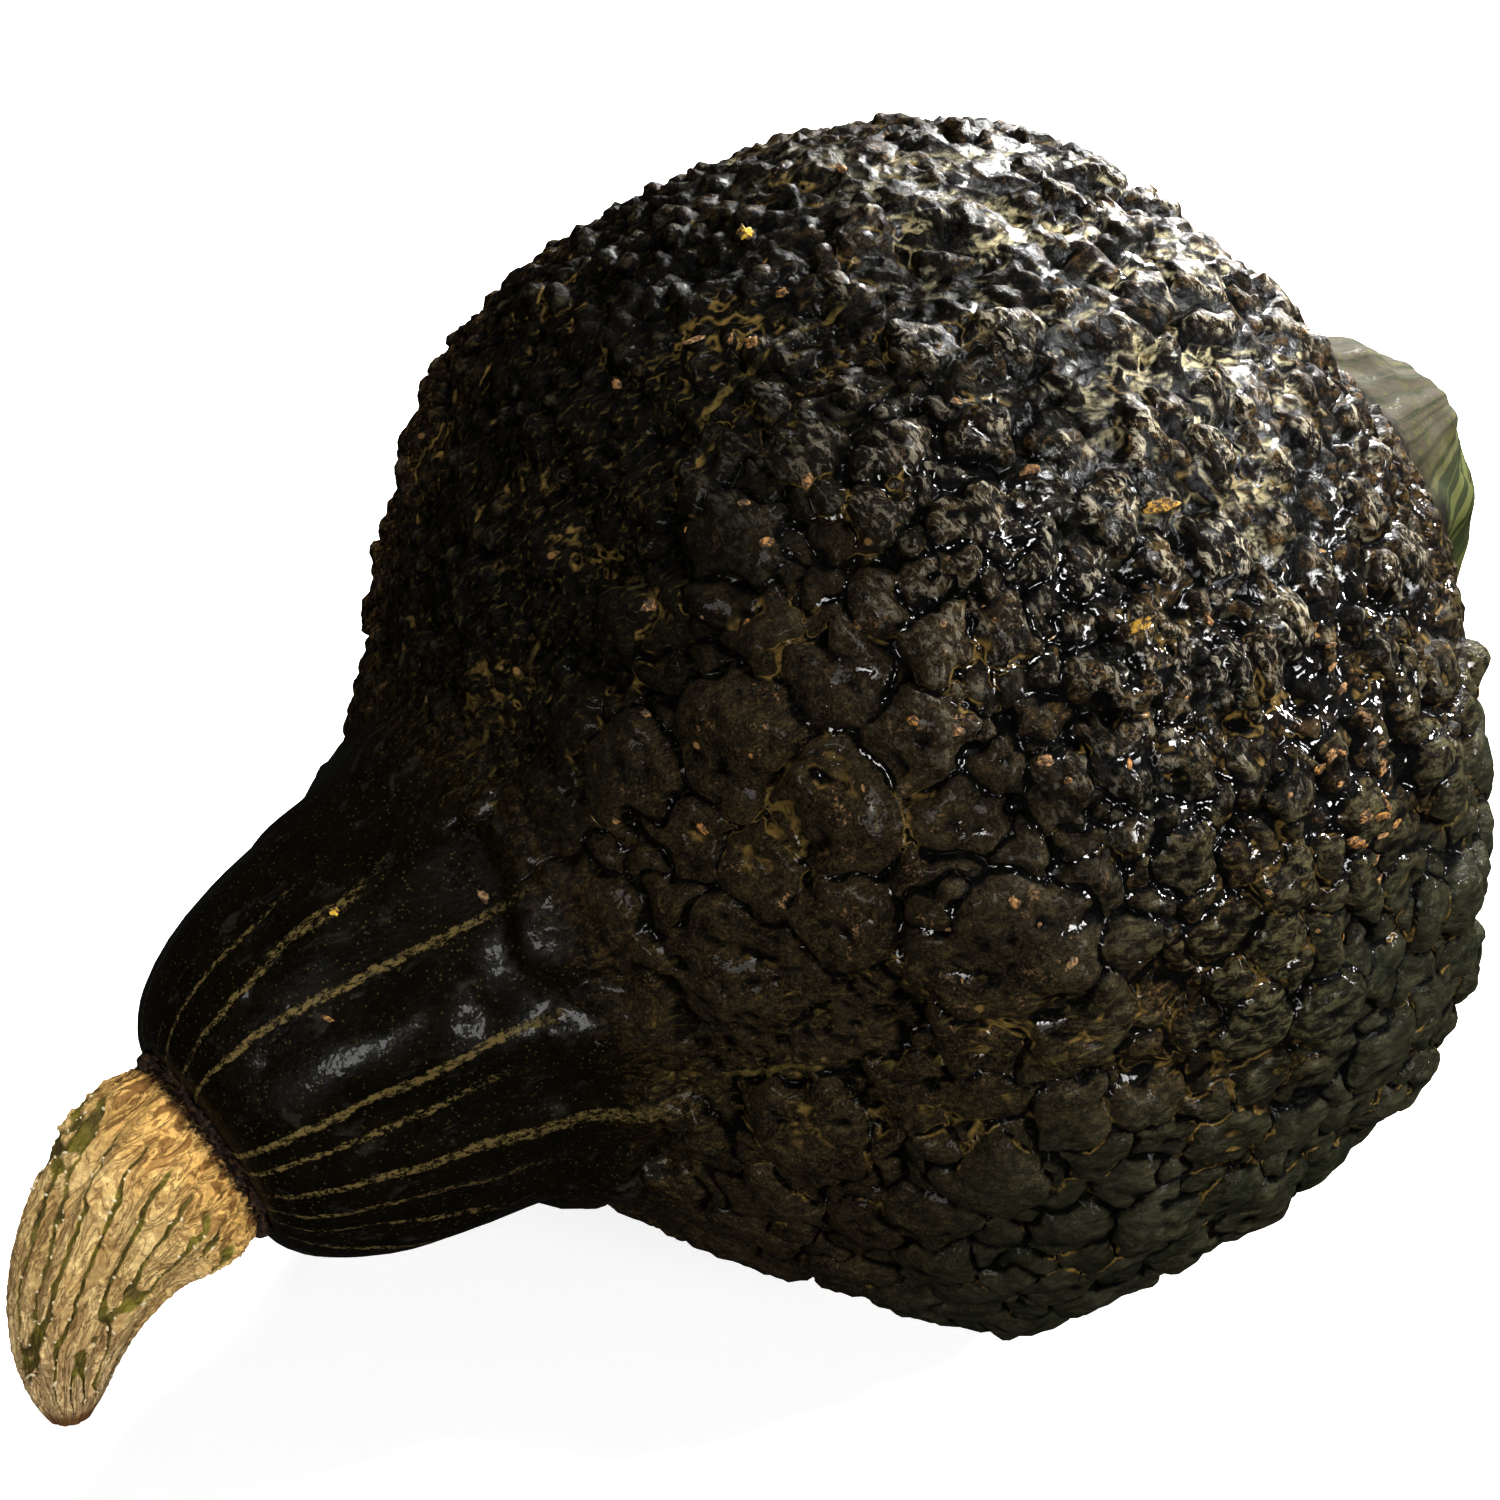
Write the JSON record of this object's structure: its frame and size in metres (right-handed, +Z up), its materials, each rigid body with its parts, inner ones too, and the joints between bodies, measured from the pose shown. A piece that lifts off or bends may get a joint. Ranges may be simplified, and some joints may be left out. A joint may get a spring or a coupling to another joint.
{
  "type": "hubbard squash",
  "caption": "Warted dark green hubbard squash lying on its belly, with a smooth striped neck, a corky drooping stem and a blunt blossom-end nub.",
  "frame": {"origin": "on the flat ground spot under the belly, below the centre of mass", "axes": "+X towards the blossom end, -X towards the stem, +Z up from the surface it rests on"},
  "size_m": [0.4084, 0.278, 0.2766],
  "materials": {
    "rind": "waxy, dark green-brown",
    "cork": "dry, corky, tan"
  },
  "bodies": {
    "root": {"fruit": "rind", "stem": "cork"}
  },
  "joints": []
}
